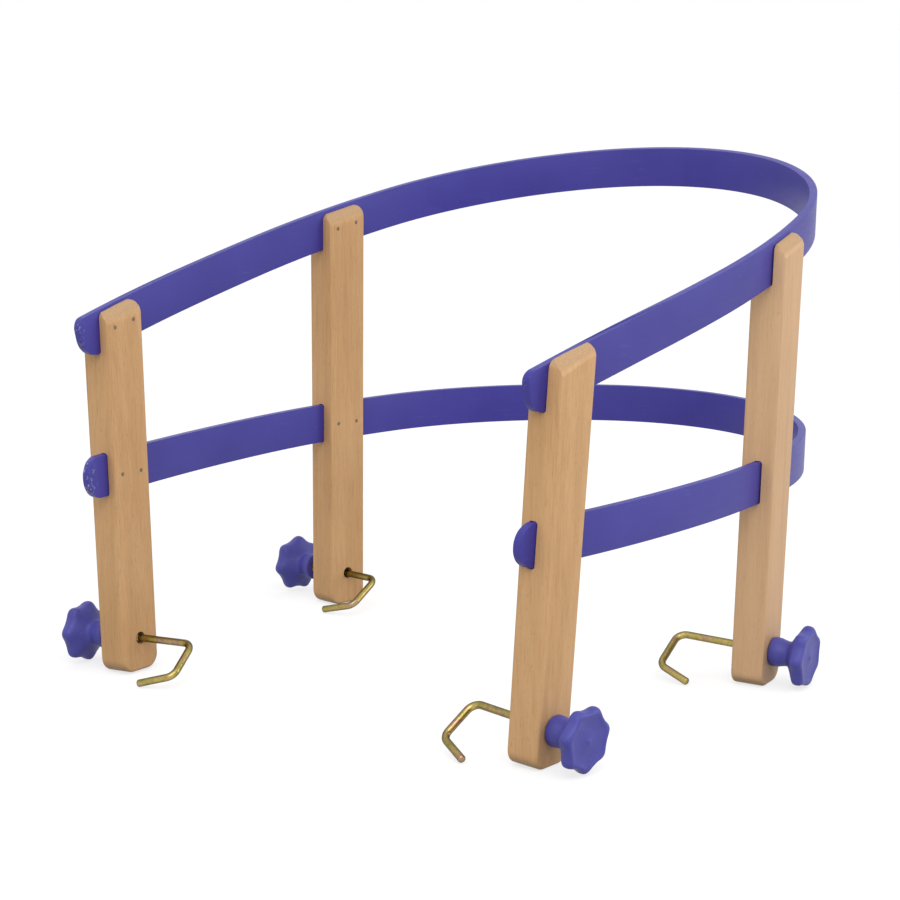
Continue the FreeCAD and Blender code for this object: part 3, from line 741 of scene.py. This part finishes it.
wire, ridge = bent_wire(), rolled_thread()
tidy_faces(wire)
tidy_faces(ridge)
bpy.ops.object.select_all(action="DESELECT")
ridge.select_set(True)
wire.select_set(True)
bpy.context.view_layer.objects.active = wire
bpy.ops.object.join()
bolts = {}
for name in stations:
    spot, out, up, back = bolt_axes(name)
    hang = swung[name]
    down = -up * cos(hang) - back * sin(hang)
    bolt = bpy.data.objects.new(name + "_zinc_hook", wire.data.copy())
    scene.collection.objects.link(bolt)
    top = spot - out * (post_t + reach[name])
    bolt.data.transform(in_frame(top, out, (-down).cross(out), -down))
    smooth(bolt, 40)
    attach(bolt, name + "_hook")
    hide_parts(name + "_hook_bolt")
    bolts[name] = bolt
bpy.data.objects.remove(wire, do_unlink=True)


def zinc_plate():
    """Yellow chromate over zinc: olive gold that drifts to pink and green, with dull patches, and
    painted shade that darkens the wire where it turns side-on to the camera.
    """
    finish, tree, shader = new_finish("yellow zinc plate")
    spot = node(tree, "ShaderNodeTexCoord").outputs["Object"]
    film = node(tree, "ShaderNodeTexNoise", {"Vector": spot, "Scale": 75.0, "Detail": 3.0,
                                             "Distortion": 1.2}).outputs["Fac"]
    colour = ramp(tree, film, [(0.28, (0.30, 0.29, 0.09)), (0.42, (0.42, 0.35, 0.10)),
                               (0.54, (0.50, 0.38, 0.13)),
                               (0.64, (0.46, 0.27, 0.19)), (0.76, (0.34, 0.32, 0.14))])
    dull = node(tree, "ShaderNodeTexNoise",
                {"Vector": spot, "Scale": 420.0, "Detail": 4.0}).outputs["Fac"]
    dull_share = ramp(tree, dull, [(0.50, (0, 0, 0)), (0.72, (0.6, 0.6, 0.6))])
    colour = blend(tree, dull_share, colour, (0.20, 0.17, 0.07))
    # painted shade: the base colour goes almost black where the wire faces away from the camera,
    # standing in for dark reflections at its edges
    turned_off = node(tree, "ShaderNodeLayerWeight", {"Blend": 0.5}).outputs["Facing"]
    painted_edge_shade = ramp(tree, turned_off, [(0.10, (0, 0, 0)), (0.62, (0.85, 0.85, 0.85))])
    colour = blend(tree, painted_edge_shade, colour, (0.060, 0.048, 0.010))
    tree.links.new(colour, shader.inputs["Base Color"])
    tree.links.new(node(tree, "ShaderNodeMapRange",
                        {"Value": dull, "From Min": 0.3, "From Max": 0.75,
                                                     "To Min": 0.20, "To Max": 0.48}).outputs[0],
                   shader.inputs["Roughness"])
    shader.inputs["Metallic"].default_value = 1.0
    bump = node(tree, "ShaderNodeBump", {"Height": dull, "Strength": 0.12, "Distance": 0.00006})
    tree.links.new(bump.outputs[0], shader.inputs["Normal"])
    return finish


zinc = zinc_plate()
for bolt in bolts.values():
    bolt.data.materials.clear()
    bolt.data.materials.append(zinc)

# ---------------------------------------------------------------- star knobs
# Four moulded plastic knobs with seven soft lobes, a hub towards the post and a dished
# face with the mark of the moulding gate in its middle. A round threaded insert is let
# into the hub, and the bore behind it takes the end of the bolt.
knob_r, lobes, lobe_depth = 0.020, 7, 0.0026
turned = {"front_left": radians(8), "rear_left": radians(20), "front_right": 0.0,
          "rear_right": radians(12)}
knob_outline = [
    (23.6, 0.0), (23.6, 2.9), (12.45, 2.9), (12.45, 4.25), (0.5, 4.25), (0.0, 4.7),
    (0.0, 8.6), (0.25, 9.12), (0.8, 9.38), (1.8, 9.4), (3.2, 9.4), (4.4, 9.36), (5.8, 9.12),
    (7.2, 8.74), (8.6, 8.38), (10.0, 8.12), (11.2, 8.06), (12.1, 8.3), (12.9, 8.95),
    (13.7, 10.0), (14.6, 11.4), (15.5, 13.0), (16.2, 14.4), (16.9, 15.9), (17.6, 17.3),
    (18.3, 18.5), (19.1, 19.35), (20.0, 19.82), (21.0, 19.97), (21.35, 20.0), (21.7, 19.98),
    (22.7, 19.93), (23.7, 19.7), (24.5, 19.25), (25.2, 18.55), (25.7, 17.7), (25.88, 16.9),
    (25.9, 16.1), (25.75, 15.3), (25.45, 14.2), (25.2, 12.4), (25.05, 10.0), (25.0, 7.5),
    (25.1, 5.0), (25.3, 3.0), (25.45, 1.75), (25.62, 1.35), (25.85, 0.95), (25.93, 0.0)]


def star_knob():
    """The knob along +X, hub's end at the origin: a spun outline, drawn in between the lobes."""
    bpy.ops.object.select_all(action="DESELECT")
    bpy.ops.mesh.primitive_plane_add(size=1, location=(0, 0, 0))
    knob = bpy.context.object
    bpy.ops.object.mode_set(mode="EDIT")
    bpy.ops.mesh.select_all(action="SELECT")
    bpy.ops.mesh.merge(type="CENTER")
    mesh = bmesh.from_edit_mesh(knob.data)
    mesh.verts.ensure_lookup_table()
    mesh.verts[0].co = (knob_outline[0][0] / 1000, 0, knob_outline[0][1] / 1000)
    mesh.verts[0].select_set(True)
    bmesh.update_edit_mesh(knob.data)
    bpy.ops.mesh.select_mode(type="VERT")
    for (x0, z0), (x1, z1) in zip(knob_outline, knob_outline[1:]):
        pull(((x1 - x0) / 1000, 0, (z1 - z0) / 1000))
    bpy.ops.mesh.select_all(action="SELECT")
    bpy.ops.mesh.spin(steps=112, angle=2 * pi, center=(0, 0, 0), axis=(1, 0, 0))
    bpy.ops.object.mode_set(mode="OBJECT")
    tidy_faces(knob)
    inner, pitch, hollow = 0.0115, 2 * pi / lobes, radians(25.7)
    for v in knob.data.vertices:
        rho = sqrt(v.co.y ** 2 + v.co.z ** 2)
        if rho > inner:
            off = abs((atan2(v.co.y, v.co.z) + pitch / 2) % pitch - pitch / 2)
            dip = lobe_depth * cos(pi / 2 * min(1, (off / hollow) ** 1.25)) ** 2
            rim = (rho - inner) / (knob_r - inner)
            keep = (rho - dip * rim ** 1.3) / rho
            v.co.y *= keep
            v.co.z *= keep
    return knob


knob = star_knob()
knobs = {}
for name, (row, side) in stations.items():
    _, out, up, _ = bolt_axes(name)
    hub = Vector(joints[name + "_knob_turn"]["pos_m"])
    one = bpy.data.objects.new(name + "_lobed_knob", knob.data.copy())
    scene.collection.objects.link(one)
    one.data.transform(in_frame(hub, out, up.cross(out), up)
                       @ Matrix.Rotation(side * turned[name], 4, "X"))
    smooth(one, 40)
    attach(one, name + "_knob")
    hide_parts(name + "_knob")
    knobs[name] = one
bpy.data.objects.remove(knob, do_unlink=True)


def knob_plastic():
    """Moulded violet-blue plastic, a little greyer than the bands, with handling wear."""
    finish, tree, shader = new_finish("violet knob plastic")
    spot = node(tree, "ShaderNodeTexCoord").outputs["Object"]
    cloud = node(tree, "ShaderNodeTexNoise",
                 {"Vector": spot, "Scale": 60.0, "Detail": 4.0}).outputs["Fac"]
    colour = ramp(tree, cloud, [(0.30, (0.056, 0.054, 0.290)), (0.70, (0.070, 0.068, 0.340))])
    wear = node(tree, "ShaderNodeTexNoise", {"Vector": spot, "Scale": 330.0, "Detail": 5.0,
                                             "Roughness": 0.65}).outputs["Fac"]
    wear_share = ramp(tree, wear, [(0.60, (0, 0, 0)), (0.76, (0.30, 0.30, 0.30))])
    colour = blend(tree, wear_share, colour, (0.22, 0.22, 0.48))
    tree.links.new(colour, shader.inputs["Base Color"])
    shader.inputs["Specular IOR Level"].default_value = 0.35
    tree.links.new(node(tree, "ShaderNodeMapRange",
                        {"Value": wear, "To Min": 0.36, "To Max": 0.58}).outputs[0],
                   shader.inputs["Roughness"])
    skin = node(tree, "ShaderNodeTexNoise",
                {"Vector": spot, "Scale": 2100.0, "Detail": 2.0}).outputs["Fac"]
    bump = node(tree, "ShaderNodeBump", {"Height": skin, "Strength": 0.12, "Distance": 0.00008})
    tree.links.new(bump.outputs[0], shader.inputs["Normal"])
    return finish


moulded = knob_plastic()
for one in knobs.values():
    one.data.materials.clear()
    one.data.materials.append(moulded)

# ---------------------------------------------------------------- threaded inserts
# A plain round brass sleeve moulded into each knob's hub. Its shape is the frame's own; it
# only gets its finish here, turned brass with fine rings about the bolt's line.
def turned_brass():
    """Brass with fine turning marks in rings and a soft, uneven shine."""
    finish, tree, shader = new_finish("turned brass")
    spot = node(tree, "ShaderNodeTexCoord").outputs["Object"]
    rings = node(tree, "ShaderNodeMapping", {"Vector": spot, "Scale": (1, 0.12, 0.12)}).outputs[0]
    marks = node(tree, "ShaderNodeTexNoise",
                 {"Vector": rings, "Scale": 2600.0, "Detail": 2.0}).outputs["Fac"]
    tree.links.new(ramp(tree, marks, [(0.35, (0.52, 0.36, 0.14)), (0.65, (0.74, 0.56, 0.27))]),
                   shader.inputs["Base Color"])
    tree.links.new(node(tree, "ShaderNodeMapRange",
                        {"Value": marks, "To Min": 0.24, "To Max": 0.42}).outputs[0],
                   shader.inputs["Roughness"])
    shader.inputs["Metallic"].default_value = 1.0
    return finish


brass = turned_brass()
for name in stations:
    for place in frame["nodes"][name + "_insert"].material_slots:
        place.material = brass


# ---------------------------------------------------------------- studio
# A pale floor under a plain white surround, soft light from all round with two square
# lamps, one in front and one to the right, and the camera low in front of the right corner.
scene.view_settings.view_transform = "Standard"

bpy.ops.object.select_all(action="DESELECT")
bpy.ops.mesh.primitive_plane_add(size=60, location=(0, 0, 0))
floor = bpy.context.object
floor.name = "studio_floor"
paint = bpy.data.materials.new("studio floor")
paint.use_nodes = True
n, link = paint.node_tree.nodes, paint.node_tree.links
n.clear()
out = n.new("ShaderNodeOutputMaterial")
matt = n.new("ShaderNodeBsdfDiffuse")
matt.inputs["Color"].default_value = (0.32, 0.32, 0.32, 1)
glow = n.new("ShaderNodeEmission")
glow.inputs["Color"].default_value = (1, 1, 1, 1)
path = n.new("ShaderNodeLightPath")
level = n.new("ShaderNodeMath")
level.operation = "MULTIPLY"
level.inputs[1].default_value = 0.70
both = n.new("ShaderNodeMath")
both.operation = "MAXIMUM"
link.new(path.outputs["Is Camera Ray"], both.inputs[0])
link.new(path.outputs["Is Glossy Ray"], both.inputs[1])
link.new(both.outputs[0], level.inputs[0])
link.new(level.outputs[0], glow.inputs["Strength"])
add = n.new("ShaderNodeAddShader")
link.new(matt.outputs[0], add.inputs[0])
link.new(glow.outputs[0], add.inputs[1])
link.new(add.outputs[0], out.inputs["Surface"])
floor.data.materials.append(paint)

world = bpy.data.worlds.new("white surround")
scene.world = world
world.use_nodes = True
n, link = world.node_tree.nodes, world.node_tree.links
n.clear()
out = n.new("ShaderNodeOutputWorld")
sky = n.new("ShaderNodeBackground")
sky.inputs["Color"].default_value = (1, 1, 1, 1)
sky.inputs["Strength"].default_value = 0.95
seen = n.new("ShaderNodeBackground")
seen.inputs["Color"].default_value = (1, 1, 1, 1)
path = n.new("ShaderNodeLightPath")
both = n.new("ShaderNodeMath")
both.operation = "MAXIMUM"
mix = n.new("ShaderNodeMixShader")
link.new(path.outputs["Is Camera Ray"], both.inputs[0])
link.new(path.outputs["Is Glossy Ray"], both.inputs[1])
link.new(both.outputs[0], mix.inputs[0])
link.new(sky.outputs[0], mix.inputs[1])
link.new(seen.outputs[0], mix.inputs[2])
link.new(mix.outputs[0], out.inputs["Surface"])

for name, place, tilt, turn, width, watts in (
        ("key_softbox", (1.0, -1.3, 1.7), 47.7, 35.9, 1.6, 21),
        ("side_softbox", (1.7, 1.0, 0.8), 71.4, 118.4, 1.0, 10)):
    bpy.ops.object.light_add(type="AREA", location=place,
                             rotation=(radians(tilt), 0, radians(turn)))
    lamp = bpy.context.object
    lamp.name = name
    lamp.data.shape = "SQUARE"
    lamp.data.size = width
    lamp.data.energy = watts

azimuth, elevation = radians(37.573), radians(10.467)
bpy.ops.object.camera_add(location=(0.92882, -1.18857, 0.42671),
                          rotation=(pi / 2 - elevation, 0, azimuth))
camera = bpy.context.object
camera.name = "studio_camera"
camera.data.sensor_width = 36
camera.data.lens = 95.83
camera.data.clip_end = 100
scene.camera = camera
